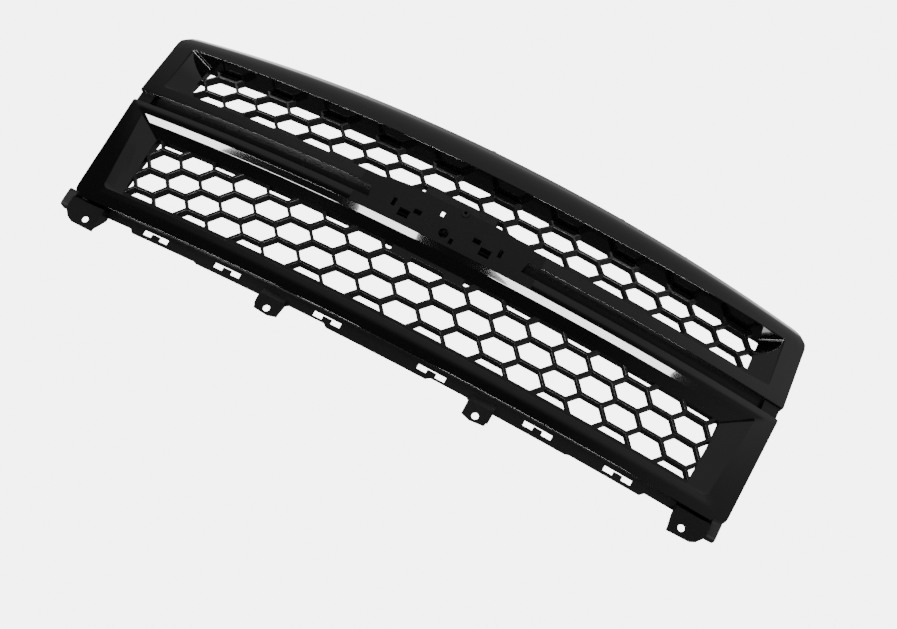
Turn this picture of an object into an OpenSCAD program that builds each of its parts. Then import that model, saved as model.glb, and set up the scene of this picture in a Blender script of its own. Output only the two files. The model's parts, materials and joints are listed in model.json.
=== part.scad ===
// Front grille of a full-size pickup truck: two honeycomb meshes in gloss surrounds,
// a centre bar with a flat badge land, and a rail with mounting tabs along the bottom.
// Frame: X across the truck, +Y towards its rear, +Z up. The origin is half way between
// the two inner tab holes of the bottom rail, on the tabs' front faces.

/* [Overall form] */
// Plan radius of the bow that every rail and mesh follows
bow_r = 1840; // [1700:10:2000]
// Setback of the lower mesh's middle from the tab faces
mesh_y = 25; // [20:1:32]
// Half width of the surrounds at the centre bar
half_w = 556; // [550:1:562]
// Height of the top of the upper surround above the tab holes
top_z = 392; // [388:1:396]
// Thickness of the moulded skins
skin = 3; // [2.5:0.1:3.5]

/* [Honeycomb] */
// Column pitch of the cells, measured along the bow
cell_dx = 50; // [49.5:0.1:50.5]
// Row pitch of the cells
cell_dz = 38.2; // [37.5:0.1:38.5]
// Width of the members between two cells
web = 4.6; // [3.5:0.1:6]
// Depth of the mesh mouldings
mesh_d = 18; // [12:1:20]
// Half of the length of a cell's flat side, as a share of the column pitch
flat_share = 0.335; // [0.3:0.005:0.36]

/* [Lower section] */
// Height of the lower mesh's middle
low_z = 126; // [124:1:128]
// Backward lean of the lower mesh
low_lean = 6.4; // [5:0.1:8]
// Height of the lower surround's bottom edge
low_bottom_z = 37; // [36:1:39]
// Height of the lower window's bottom front edge
low_sill_z = 66; // [64:1:68]
// Height of the centre bar's lower edge
bar_bottom_z = 205; // [203:1:207]

/* [Upper section] */
// Height of the upper mesh's middle
up_z = 305.8; // [304:0.2:308]
// Setback of the upper mesh's middle behind the lower one's
up_setback = 26.6; // [25:0.2:28]
// Backward lean of the upper mesh
up_lean = 19.4; // [18:0.2:21]
// Height of the centre bar's upper edge
bar_top_z = 260; // [258:1:262]
// Height of the upper window's top front edge
up_head_z = 339; // [337:1:341]

/* [Centre bar] */
// Lower edge of the recessed channel
channel_low_z = 223; // [222:0.5:224]
// Upper edge of the recessed channel
channel_high_z = 241.5; // [241:0.5:243]
// Depth of the recessed channel
channel_d = 12; // [9:1:13]
// Distance of the channel's inner end from the middle
channel_in_x = 126; // [122:1:134]
// Lean of the channel's inner end over its height
channel_end_lean = 4.5; // [0:0.5:8]
// Distance of the channel's outer end from the middle
channel_out_x = 526; // [520:1:530]
// Half width of the badge land's plate
land_x = 150; // [146:1:154]

/* [Mounting] */
// Distance of the inner tab holes from the middle
inner_tab_x = 167; // [160:1:172]
// Distance of the outer tab holes from the middle
outer_tab_x = 489; // [484:1:494]
// Height of the outer tab holes
outer_tab_z = 3; // [0:1:6]
// Setback of the outer tabs behind the inner ones
outer_tab_y = 47; // [44:1:50]
// Diameter of the tab holes
tab_hole_d = 10.5; // [9:0.5:11]
// Thickness of the tab plates
tab_t = 4; // [3:0.5:5]
// Distance of the outer top ears from the middle
outer_ear_x = 400; // [380:5:420]
// Distance of the inner top ears from the middle
inner_ear_x = 140; // [120:5:160]
// Diameter of the ear holes
ear_hole_d = 8.5; // [7:0.5:9]

/* [Hidden] */
$fn = 64;
bow_fn = 256;
eps = 0.01;
sweep = 46;

axis_y = bow_r + mesh_y;
gloss_black = [0.05, 0.05, 0.055];
satin_black = [0.13, 0.13, 0.135];
dark_grey = [0.09, 0.09, 0.095];
rubber_black = [0.06, 0.06, 0.06];
zinc = [0.55, 0.56, 0.58];

// Setback of the surrounds' front faces at their bottom edge, and their backward lean
face_low_c = -25;
face_lean = 3.4;
// Setback at which the rolled top of the upper surround ends
roll_c = 38;
// Drop of the upper surround's top edge from the middle to its ends
arch_drop = 17;
// Radius of the upper surround's outer top corners
corner_r = 40;

// Screws: pan head, driven from behind
screw_d = 4;
head_d = 9;
head_h = 3;
boss_d = 8;

// Slope of the window walls that face up and down
wall_slope = 0.2;
// Setback of the lower surround's rear edges
low_back_c = 18;
// Clearance between pieces that sit side by side
gap = 0.4;
floor_t = 3;

// ---- Geometry of the bow -------------------------------------------------

// Y of the surface at setback c and distance x from the middle
function bow_y(x, c) = axis_y - sqrt(pow(bow_r - c, 2) - x * x);
// How far that surface has receded from its middle
function bow_back(x) = bow_r - sqrt(bow_r * bow_r - x * x);
// Angle about the bow's axis of the radial line that crosses setback 0 at distance x
function bow_a(x) = asin(x / bow_r);

// Setback of the surrounds' front faces at height z
function face_c(z) = face_low_c + (z - low_bottom_z) * tan(face_lean);

// Setback of a mesh's middle surface at height z
low_c = function (z) (z - low_z) * tan(low_lean);
up_c = function (z) up_setback + (z - up_z) * tan(up_lean);

// Revolves a section of [setback, height] points about the bow's axis
module bowed(points) {
  translate([0, axis_y, 0])
    rotate([0, 0, 270 - sweep / 2])
      rotate_extrude(angle = sweep, $fn = bow_fn)
        polygon([for (p = points) [bow_r - p[0], p[1]]]);
}

// Places children on the bow; their own +Y points back along the bow's radius
module on_bow(x, c, z) {
  translate([0, axis_y, 0])
    rotate([0, 0, bow_a(x)])
      translate([0, c - bow_r, z])
        children();
}

// Extrudes an outline of [across, up] along the bow's radius at station x and height z
module radial(x, z, c0 = -80, c1 = 120) {
  on_bow(x, c1, z)
    rotate([90, 0, 0])
      linear_extrude(c1 - c0)
        children();
}

// Extrudes a front outline of [x, z] through the whole depth
module through(y0 = -100, y1 = 300) {
  translate([0, y1, 0])
    rotate([90, 0, 0])
      linear_extrude(y1 - y0)
        children();
}

// Cylinder along Y, starting at the local origin and running back
module rod(d, h) {
  rotate([-90, 0, 0])
    cylinder(d = d, h = h);
}

module both_sides() {
  children();
  mirror([1, 0, 0])
    children();
}

// Closed front outline from the points of its right half
module mirrored_outline(half) {
  polygon(concat(half, [for (i = [len(half) - 1:-1:0]) [-half[i][0], half[i][1]]]));
}

function arc_points(cx, cz, r, a0, a1, n = 8) =
  [for (i = [0:n]) [cx + r * cos(a0 + (a1 - a0) * i / n), cz + r * sin(a0 + (a1 - a0) * i / n)]];

// ---- Window openings -----------------------------------------------------

// Section of an upright band of thickness t whose front is at setback c
function upright_band(c, t, z0, z1) = [[c, z0], [c, z1], [c + t, z1], [c + t, z0]];

function shifted(points, dc, dz) = [for (p = points) [p[0] + dc, p[1] + dz]];

// Jamb lines: front edge and mesh edge, each as [x, setback, z] at two heights
low_z0 = low_sill_z - 20;
low_z1 = bar_bottom_z + 20;
up_z0 = bar_top_z - 20;
up_z1 = up_head_z + 20;
low_jamb_front = [[503, face_c(low_z0), low_z0], [527, face_c(low_z1), low_z1]];
low_jamb_back = [[470, low_c(low_z0) - mesh_d / 2, low_z0], [485, low_c(low_z1) - mesh_d / 2, low_z1]];
up_jamb_front = [[523, face_c(up_z0), up_z0], [514, face_c(up_z1), up_z1]];
up_jamb_back = [[483, up_c(up_z0) - mesh_d / 2, up_z0], [485, up_c(up_z1) - mesh_d / 2, up_z1]];

// Lines of the window's head and sill as [setback, height] points, front to back
low_head = [[-60, bar_bottom_z + 60], [-14, bar_bottom_z], [-2, 176.5], [80, 160]];
low_sill = [[80, low_sill_z + 105 * wall_slope], [-60, low_sill_z - 35 * wall_slope]];
up_head = [[-60, up_head_z + 53 * wall_slope], [80, up_head_z - 87 * wall_slope]];
up_sill = [[80, bar_top_z + 92 * wall_slope], [-60, bar_top_z - 48 * wall_slope]];

// Solid that clears a window; its jambs pass through the two pairs of lines
module window_solid(head, sill, front, back, push) {
  intersection() {
    bowed(concat(head, sill));
    hull()
      both_sides()
        for (i = [0, 1]) {
          f = [front[i][0], bow_y(front[i][0], front[i][1]), front[i][2]];
          b = [back[i][0], bow_y(back[i][0], back[i][1]), back[i][2]];
          outer = 2 * f - b;
          for (p = [outer, [outer[0], -120, outer[2]], 1.6 * b - 0.6 * f])
            translate([p[0] + push / 2, p[1] + push, p[2]])
              cube(eps, center = true);
        }
  }
}

module low_window(grow = 0) {
  window_solid(shifted(low_head, grow, grow / 2), shifted(low_sill, 0, -grow),
               low_jamb_front, low_jamb_back, grow);
}

module up_window(grow = 0) {
  window_solid(shifted(up_head, 0, grow), shifted(up_sill, 0, -grow),
               up_jamb_front, up_jamb_back, grow);
}

// ---- Screws and bosses ---------------------------------------------------

// Boss with its pilot hole, from setback c0 back to c1
module boss(x, c0, c1, z) {
  on_bow(x, c0, z)
    rod(boss_d, c1 - c0);
}

module pilot(x, c0, c1, z) {
  on_bow(x, c0, z)
    rod(screw_d + 0.3, c1 - c0);
}

// Pan-head screw along Y: shaft towards -Y, head on +Y with a cross recess
module screw_body(length) {
  difference() {
    union() {
      rod(head_d, head_h);
      translate([0, -length, 0])
        rod(screw_d, length + 1);
    }
    translate([0, head_h - 1.5, 0])
      for (a = [0, 90])
        rotate([0, a, 0])
          translate([-2.6, 0, -0.5])
            cube([5.2, 2, 1]);
  }
}

// Screw whose head seats on a rear surface at setback c
module screw(x, c, z, length) {
  on_bow(x, c, z)
    screw_body(length);
}

// Stations across the width
up_head_x = [-440, -320, -190, -60, 60, 190, 320, 440];
up_sill_x = [-460, -340, -200, 200, 340, 460];
low_head_x = [-455, -330, -200, 200, 330, 455];
low_sill_x = [-430, -310, -120, 120, 310, 430];
bar_x = [-500, -395, -265, 265, 395, 500];
bar_up_x = [-500, -400, -270, 270, 400, 500];
ear_t = 3;
up_head_boss_z = 348;
up_sill_boss_z = 252;
low_head_boss_z = 199;
low_sill_boss_z = 54;
bar_boss_z = 214;
bar_up_boss_z = 251;
rail_x = [-440, -200, 0, 200, 440];
rail_screw_c = -7;
top_rail_x = [-330, -220, 0, 220, 330];
top_rail_c = 28;
bracket_screws = [[498, 50], [523, 64]];
bracket_c = -12;

// ---- Upper surround ------------------------------------------------------

function arch_z(x) = top_z - arch_drop * pow(x / 540, 2);

module upper_outline() {
  side_x = half_w - 9;
  turn_x = side_x - corner_r;
  mirrored_outline(concat(
    [[0, channel_high_z], [half_w, channel_high_z]],
    arc_points(turn_x, arch_z(turn_x) - corner_r, corner_r, 0, 84, 8),
    [for (i = [0:8]) let (x = turn_x * (1 - i / 9) - 1) [x, arch_z(x)]]));
}

// Section of the upper surround, inset by t from its outer surface
function upper_section(t) = let (
    r = roll_c - face_c(up_head_z),
    z0 = channel_high_z + t
  ) concat(
    [[face_c(z0) + t, z0]],
    arc_points(roll_c, top_z - r, r - t, 180, 90, 10),
    [[roll_c + t, top_z - t], [roll_c + t, z0]]);

// Heights of the meshes' rims, and setbacks of the screw ears that stand on them
low_rim_z = [60, 190];
up_rim_z = [262, 339];
low_sill_c = low_c(low_rim_z[0]) - mesh_d / 2;
low_head_c = low_c(low_rim_z[1]) - mesh_d / 2;
up_sill_c = up_c(up_rim_z[0]) - mesh_d / 2;
up_head_c = up_c(up_rim_z[1]) - mesh_d / 2;

module upper_surround() {
  color(gloss_black)
    difference() {
      union() {
        difference() {
          intersection() {
            bowed(upper_section(0));
            through() upper_outline();
          }
          intersection() {
            bowed(upper_section(skin));
            through() offset(delta = -skin) upper_outline();
          }
        }
        intersection() {
          up_window(skin);
          bowed(upper_section(0));
          through() upper_outline();
        }
        for (x = up_head_x)
          boss(x, face_c(up_head_boss_z) + 1, up_head_c, up_head_boss_z);
        for (x = up_sill_x)
          boss(x, face_c(up_sill_boss_z) + 1, up_sill_c, up_sill_boss_z);
        for (x = bar_up_x)
          boss(x, face_c(bar_up_boss_z) + 1, bar_floor_c, bar_up_boss_z);
        for (x = top_rail_x)
          on_bow(x, top_rail_c, top_rail_z)
            cylinder(d = boss_d, h = arch_z(x) - 1 - top_rail_z);
        land_flange(channel_high_z, bar_top_z);
      }
      up_window();
      // Room for the mesh and its flange
      intersection() {
        bowed([[up_sill_c, up_rim_z[0] - 18], [up_sill_c, up_rim_z[0]], [up_head_c, up_rim_z[1]],
               [up_head_c, up_rim_z[1] + 17], [100, up_rim_z[1] + 17], [100, up_rim_z[0] - 18]]);
        through() square([1000, 1000], center = true);
      }
      // Passage of the backing plate's lug
      notch();
      // Seat of the centre bar's floor and of its land
      bar_seat(channel_high_z - 1, channel_high_z + 5);
      land_pocket();
      for (x = up_head_x)
        pilot(x, up_head_c - 12, 100, up_head_boss_z);
      for (x = up_sill_x)
        pilot(x, up_sill_c - 8, 100, up_sill_boss_z);
      for (x = bar_up_x)
        pilot(x, bar_floor_c - 8, 100, bar_up_boss_z);
      for (x = top_rail_x)
        on_bow(x, top_rail_c, top_rail_z - 1)
          cylinder(d = screw_d + 0.3, h = 9);
    }
}

// ---- Lower surround ------------------------------------------------------

module lower_outline() {
  mirrored_outline(concat(
    [[0, low_bottom_z], [518, low_bottom_z]],
    arc_points(525, low_bottom_z + 18, 18, -80, -5, 6),
    [[half_w - 8, 69], [half_w, channel_low_z - 6], [half_w, channel_low_z], [0, channel_low_z]]));
}

function lower_section(t) = let (z0 = low_bottom_z - 2 * t, z1 = channel_low_z - t)
  [[face_c(z0) + t, z0], [face_c(z1) + t, z1], [low_back_c + t, z1], [low_back_c + t, z0]];

module lower_surround() {
  color(gloss_black)
    difference() {
      union() {
        difference() {
          intersection() {
            bowed(lower_section(0));
            through() lower_outline();
          }
          intersection() {
            bowed(lower_section(skin));
            through()
              union() {
                offset(delta = -skin) lower_outline();
                translate([-538, low_bottom_z - 10]) square([1076, 20]);
              }
          }
        }
        intersection() {
          low_window(skin);
          bowed(lower_section(0));
          through() lower_outline();
        }
        for (x = low_head_x)
          boss(x, face_c(low_head_boss_z) + 4, low_head_c, low_head_boss_z);
        for (x = low_sill_x)
          boss(x, face_c(low_sill_boss_z) + 1, low_sill_c, low_sill_boss_z);
        for (x = bar_x)
          boss(x, face_c(bar_boss_z) + 1, bar_floor_c, bar_boss_z);
        both_sides()
          for (p = bracket_screws)
            boss(p[0], face_c(p[1]) + 1, bracket_c, p[1]);
        land_flange(bar_bottom_z, channel_low_z);
      }
      low_window();
      // Room for the mesh and its flange
      intersection() {
        bowed([[low_sill_c, low_rim_z[0] - 15], [low_sill_c, low_rim_z[0]], [low_head_c, low_rim_z[1]],
               [low_head_c, low_rim_z[1] + 16.5], [100, low_rim_z[1] + 16.5], [100, low_rim_z[0] - 15]]);
        through() square([998, 1000], center = true);
      }
      bar_seat(bar_bottom_z + 2, channel_low_z + 1);
      land_pocket();
      // Passage of the badge boss
      through()
        translate([-badge_boss_d / 2 - 0.5, badge_boss_z - badge_boss_d / 2 - 0.5])
          square([badge_boss_d + 1, badge_boss_d + 20]);
      for (x = low_head_x)
        pilot(x, low_head_c - 7, 100, low_head_boss_z);
      for (x = low_sill_x)
        pilot(x, low_sill_c - 5, 100, low_sill_boss_z);
      for (x = bar_x)
        pilot(x, bar_floor_c - 8, 100, bar_boss_z);
      both_sides()
        for (p = bracket_screws)
          pilot(p[0], bracket_c - 7, 100, p[1]);
    }
}

// ---- Centre bar ----------------------------------------------------------

bar_floor_c = face_c(channel_low_z) + channel_d;
bar_x_end = 552;
land_t = 3;
bump_h = 8;
bump_x = 75;

// Front outline of the land: level below, raised a little in the middle above
module land_outline(grow = 0) {
  bump = [for (i = [0:8]) let (x = bump_x + (land_x - bump_x) * i / 8)
            [x, bar_top_z + bump_h * (1 + cos(180 * i / 8)) / 2]];
  offset(delta = grow)
    mirrored_outline(concat([[0, bar_bottom_z], [land_x, bar_bottom_z], [land_x, bar_top_z]],
                            [for (i = [8:-1:0]) bump[i]]));
}

// Slanted band across a channel between two stations of its inner end
module channel_end(x0, x1) {
  lean = channel_end_lean;
  h = channel_high_z - channel_low_z;
  translate([0, channel_low_z]) polygon([[x0, 0], [x1, 0], [x1 + lean, h], [x0 + lean, h]]);
}

// Section between the face and a depth behind it
function face_band(t0, t1, z0, z1) =
  [[face_c(z0) + t0, z0], [face_c(z1) + t0, z1], [face_c(z1) + t1, z1], [face_c(z0) + t1, z0]];

// Flange of a surround that the land is seated on
module land_flange(z0, z1) {
  intersection() {
    bowed(face_band(skin - 1, land_t + gap + 2.4, z0 + 0.5, z1));
    through() translate([-land_x - 4, z0]) square([2 * land_x + 8, z1 - z0]);
  }
}

// Pocket that the land fills in the faces of both surrounds
module land_pocket() {
  intersection() {
    bowed(face_band(-40, land_t + gap, bar_bottom_z - 5, bar_top_z + 15));
    through() land_outline(gap);
  }
}

module bar_seat(z0, z1) {
  intersection() {
    bowed([[bar_floor_c, z0], [bar_floor_c, z1], [100, z1], [100, z0]]);
    through() square([2 * bar_x_end + 2 * gap, 2000], center = true);
  }
}

// Badge fixings in the land: [x, height above the land's middle, width, height]
land_mid_z = 232;
land_slots = [[88, 1, 6, 13], [67, -9, 17, 13], [49, 2, 12, 8]];
land_rect = [-15, 17, 6, 9];
land_web_x = [28, 76, 106];
badge_boss_z = land_mid_z - 10;
badge_boss_d = 22;
badge_bore_d = 15;

// Screw ear that rises from the floor behind the upper strip
module bar_ear(x) {
  intersection() {
    bowed(upright_band(bar_floor_c, floor_t, 240, 260));
    radial(x, bar_up_boss_z) {
      circle(d = 12);
      translate([-6, -8]) square([12, 8]);
    }
  }
}

module center_bar() {
  z0 = bar_bottom_z + 3;
  z1 = channel_high_z + 4;
  color(satin_black)
    difference() {
      union() {
        // Channel floor
        intersection() {
          bowed(upright_band(bar_floor_c, floor_t, z0, z1));
          through() square([2 * bar_x_end, 2000], center = true);
        }
        for (x = bar_up_x)
          bar_ear(x);
        // Badge land, cut away at the inner ends of the channels
        intersection() {
          bowed(face_band(0, land_t, bar_bottom_z - 5, bar_top_z + 15));
          through()
            difference() {
              land_outline();
              both_sides() channel_end(channel_in_x, land_x + 10);
            }
        }
        // Webs from the floor up to the land
        intersection() {
          bowed(face_band(land_t - 1, channel_d + 1, channel_low_z + gap, channel_high_z - gap));
          both_sides()
            for (x = land_web_x)
              through() translate([x, 0]) square([2.5, 400]);
        }
        // Slanted inner ends of the channels
        intersection() {
          bowed(face_band(0, channel_d + 1, channel_low_z + gap, channel_high_z - gap));
          both_sides()
            through() channel_end(channel_in_x - 2.5, channel_in_x);
        }
        // Boss of the badge's socket
        intersection() {
          bowed(face_band(land_t - 1, channel_d + 1,
                          badge_boss_z - badge_boss_d, badge_boss_z + badge_boss_d));
          on_bow(0, -40, badge_boss_z)
            rod(badge_boss_d, 60);
        }
      }
      for (s = land_slots, m = [1, -1])
        through(-60, 60)
          translate([m * s[0], land_mid_z + s[1]])
            square([s[2], s[3]], center = true);
      for (m = [1, -1])
        through(-60, 60)
          translate([m * land_rect[0], land_mid_z + m * land_rect[1]])
            square([land_rect[2], land_rect[3]], center = true);
      on_bow(0, -40, badge_boss_z)
        rod(badge_bore_d, 40 + bar_floor_c - 3);
      on_bow(0, -40, badge_boss_z)
        rod(6.4, 60);
      for (x = bar_x)
        pilot(x, -10, 60, bar_boss_z);
      for (x = bar_up_x)
        pilot(x, -10, 60, bar_up_boss_z);
      for (x = plate_x)
        pilot(x, -7, 60, plate_z);
      both_sides()
        pilot(cap_stud_x, -10, 60, cap_stud_z);
      notch();
    }
}

// Cap that closes the outer end of a channel, held by a stud through the bar's floor
cap_stud_x = (channel_out_x + bar_x_end) / 2;
cap_stud_z = land_mid_z;

module channel_cap() {
  z0 = channel_low_z + gap;
  z1 = channel_high_z - gap;
  color(satin_black) {
    intersection() {
      bowed([[face_c(z0) + 4, z0], [face_c(z1) + 4, z1], [bar_floor_c, z1], [bar_floor_c, z0]]);
      through()
        translate([channel_out_x, z0]) square([bar_x_end - channel_out_x, z1 - z0]);
    }
    on_bow(cap_stud_x, bar_floor_c - 1, cap_stud_z)
      rod(screw_d, floor_t + 3);
  }
}

module right_channel_cap() {
  channel_cap();
}

module left_channel_cap() {
  mirror([1, 0, 0]) channel_cap();
}

// Notch in the land's upper edge for the backing plate's lug
lug_x = 14;
lug_z = 266;
lug_d = 13;

module notch() {
  on_bow(lug_x, -60, lug_z)
    rod(lug_d + 1, 75);
}

// ---- Backing plate behind the land ---------------------------------------

plate_x = [-118, 118];
plate_z = 232;
plate_c = bar_floor_c + floor_t;

module badge_plate() {
  color(dark_grey)
    difference() {
      union() {
        intersection() {
          bowed([[plate_c, 209], [plate_c, 245], [plate_c + 3, 245], [plate_c + 3, 209]]);
          through() offset(r = 6) translate([-124, 215]) square([248, 24]);
        }
        // Arm and lug that hook over the land's upper edge
        on_bow(lug_x, plate_c, 240)
          translate([-2.5, 0, 0])
            cube([5, 3, up_rim_z[0] - 240.5]);
        on_bow(lug_x, face_c(lug_z) - 1.5, lug_z)
          rod(lug_d, plate_c + 0.8 - face_c(lug_z) + 1.5);
      }
      for (x = plate_x)
        pilot(x, -40, 60, plate_z);
      on_bow(0, -40, badge_boss_z)
        rod(6.4, 80);
      on_bow(lug_x, face_c(lug_z) - 3, lug_z)
        rod(5, 10);
    }
}

// ---- Honeycomb meshes ----------------------------------------------------

flat_half = cell_dx * flat_share;
point_half = cell_dx - flat_half;
// The cells are drawn square to the lower mesh, so rows are lifted towards the ends to stay level
draw_tilt = low_lean;

function level_rise(x) = bow_back(x) * sin(draw_tilt);

function on_pattern(s, z) = let (x = bow_r * sin(s / bow_r * 180 / PI)) [x, z + level_rise(x)];

// One cell of the honeycomb around column i and half-row j
module cell(i, j, pitch) {
  corners = [[flat_half, 1], [point_half, 0], [flat_half, -1],
             [-flat_half, -1], [-point_half, 0], [-flat_half, 1]];
  offset(delta = -web / 2)
    polygon([for (k = corners) on_pattern(i * cell_dx + k[0], (j + k[1]) * pitch / 2)]);
}

// All cells whose column and half-row add up to the given parity
module cells(pitch, rows, parity) {
  for (i = [-10:10], j = [-rows:rows])
    if (abs(i + j) % 2 == parity)
      cell(i, j, pitch);
}

// Sends a front pattern through a mesh along the draw direction
module drawn(z, c) {
  translate([0, mesh_y + c, z])
    rotate([-draw_tilt, 0, 0])
      through(-120, 250)
        children();
}

function mesh_section(lean_c, z0, z1, t0, t1) =
  [[lean_c(z0) + t0, z0], [lean_c(z1) + t0, z1], [lean_c(z1) + t1, z1], [lean_c(z0) + t1, z0]];

// Screw ear at height z whose front is at setback c; it reaches to the mesh at height rim_z
module ear(x, c, z, rim_z) {
  intersection() {
    bowed(upright_band(c, ear_t, z - 14, z + 14));
    radial(x, z) {
      circle(d = 13);
      translate([-6.5, min(0, rim_z - z)]) square([13, abs(rim_z - z)]);
    }
  }
}

low_open = [-54, 51.5];
up_open = [-40, 27];
// Solid pad in the middle of each mesh, next to the badge land
pad_half = 59;
low_pad_z = 40;
up_pad_z = -19.5;

module lower_mesh() {
  color(satin_black)
    difference() {
      union() {
        difference() {
          intersection() {
            bowed(mesh_section(low_c, low_rim_z[0], low_rim_z[1], -mesh_d / 2, mesh_d / 2));
            through() polygon([[-482, 0], [482, 0], [492, 400], [-492, 400]]);
          }
          drawn(low_z, 0)
            difference() {
              intersection() {
                cells(cell_dz, 3, 0);
                polygon([for (x = [-480:60:480]) [x, low_open[1] + level_rise(x)],
                         for (x = [480:-60:-480]) [x * 0.975, low_open[0] + level_rise(x)]]);
              }
              mirrored_outline([[0, low_pad_z + 3.5], [24, low_pad_z + 3.5], [34, low_pad_z],
                                [pad_half, low_pad_z], [pad_half, low_open[1] + 8],
                                [0, low_open[1] + 8]]);
            }
        }
        for (x = rail_x)
          on_bow(x, rail_screw_c, 44)
            cylinder(d = 9, h = 18);
        for (x = low_head_x)
          ear(x, low_head_c, low_head_boss_z, low_rim_z[1] - 2);
        for (x = low_sill_x)
          ear(x, low_sill_c, low_sill_boss_z, low_rim_z[0] + 0.3);
      }
      for (x = low_head_x)
        pilot(x, -40, 60, low_head_boss_z);
      for (x = low_sill_x)
        pilot(x, -40, 60, low_sill_boss_z);
      for (x = rail_x)
        on_bow(x, rail_screw_c, 40)
          cylinder(d = screw_d + 0.3, h = 19);
    }
}

module upper_mesh() {
  pitch = cell_dz * cos(up_lean - draw_tilt);
  color(satin_black)
    difference() {
      union() {
        difference() {
          intersection() {
            bowed(mesh_section(up_c, up_rim_z[0], up_rim_z[1], -mesh_d / 2, mesh_d / 2));
            through() square([2 * 493, 1000], center = true);
          }
          drawn(up_z, up_setback)
            difference() {
              intersection() {
                cells(pitch, 2, 1);
                polygon([for (x = [-486:54:486]) [x, up_open[1] + level_rise(x)],
                         for (x = [486:-54:-486]) [x, up_open[0] + level_rise(x)]]);
              }
              translate([-pad_half, up_open[0] - 5])
                square([2 * pad_half, up_pad_z - up_open[0] + 5]);
            }
        }
        for (x = up_head_x)
          ear(x, up_head_c, up_head_boss_z, up_rim_z[1] - 2);
        for (x = up_sill_x)
          ear(x, up_sill_c, up_sill_boss_z, up_rim_z[0] + 0.3);
      }
      for (x = up_head_x)
        pilot(x, -40, 60, up_head_boss_z);
      for (x = up_sill_x)
        pilot(x, -40, 60, up_sill_boss_z);
    }
}

// ---- Bottom rail ---------------------------------------------------------

// The skirt hangs behind the lower surround's bottom edge
skirt_c = -20.5;
skirt_t = 3;
skirt_top_z = 44;
// Lower edge of the skirt: steps of [x where it ends, height]
rail_end_x = 470.5;
skirt_steps = [[80, 15.5], [143, 20], [300, 16], [418, 18], [rail_end_x, 24]];
window_x = [84, 252, 379];
window_w = 44;
window_z = [23, 31];
tongue_w = 14;
ledge_c = 14;

module skirt_outline() {
  ramp = 6;
  mirrored_outline(concat(
    [for (i = [0:4]) for (e = [0, 1])
       [e == 0 ? (i == 0 ? 0 : skirt_steps[i - 1][0] + ramp) : skirt_steps[i][0], skirt_steps[i][1]]],
    [[rail_end_x, skirt_top_z], [0, skirt_top_z]]));
}

// Snap window with the tongue that stands in it
module snap_window() {
  difference() {
    translate([-window_w / 2, window_z[0]]) square([window_w, window_z[1] - window_z[0]]);
    translate([-tongue_w / 2, window_z[0] - 1]) square([tongue_w, window_z[1] - window_z[0] - 0.8]);
  }
}

// Plate of a mounting tab with its hole, front face at y = 0
module tab_plate(outline) {
  rotate([90, 0, 0])
    mirror([0, 0, 1])
      linear_extrude(tab_t)
        difference() {
          polygon(outline);
          circle(d = tab_hole_d);
        }
}

inner_tab_outline = [[-19, 16], [-19, -5], [-5, -9], [17, -7], [20, 8], [20, 16]];

// Inner tab standing ahead of the skirt on a box with two cheeks and a sloping roof
module inner_tab() {
  skirt_y = bow_y(inner_tab_x, skirt_c) + 1.5;
  tab_plate(inner_tab_outline);
  for (x = [-19, 17])
    translate([x, 0, 0])
      rotate([90, 0, 90])
        linear_extrude(3)
          polygon([[0, 4], [tab_t, -2], [skirt_y, 16], [skirt_y, 30], [0, 16]]);
  translate([-19, 0, 0])
    rotate([90, 0, 90])
      linear_extrude(39)
        polygon([[0, 13.5], [tab_t, 13.5], [skirt_y, 27], [skirt_y, 30], [0, 16.5]]);
}

module bottom_rail() {
  color(satin_black)
    difference() {
      union() {
        // Skirt
        intersection() {
          bowed(upright_band(skirt_c, skirt_t, 0, skirt_top_z));
          through()
            difference() {
              skirt_outline();
              for (x = window_x)
                both_sides()
                  translate([x, 0]) snap_window();
            }
        }
        // Ledge that runs back above the skirt, with its upturned rear flange
        intersection() {
          bowed([[skirt_c, skirt_top_z - 3], [skirt_c, skirt_top_z], [ledge_c - 3, skirt_top_z],
                 [ledge_c - 3, 58], [ledge_c, 58], [ledge_c, skirt_top_z - 3]]);
          through() square([2 * rail_end_x, 400], center = true);
        }
        // Ribs under the ledge
        for (x = [-420:40:420])
          on_bow(x, skirt_c, 0)
            translate([-1, 0, 0])
              rotate([90, 0, 90])
                linear_extrude(2)
                  polygon([[1, 33], [1, skirt_top_z - 1], [ledge_c - skirt_c - 1, skirt_top_z - 1]]);
        both_sides()
          translate([inner_tab_x, 0, 0])
            inner_tab();
      }
      for (x = rail_x)
        on_bow(x, rail_screw_c, 0)
          cylinder(d = screw_d + 0.3, h = 100);
    }
}

// ---- End brackets --------------------------------------------------------

outer_tab_outline = [[-18, 24], [-18, -12], [18, -12], [26, -8], [35, 3], [35, 24]];
cheek_x = 521;
block_w = 14;
block_y = [51, 75];
block_z = [8, 38];
stud_y = 64;
stud_z = 22;

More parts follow.
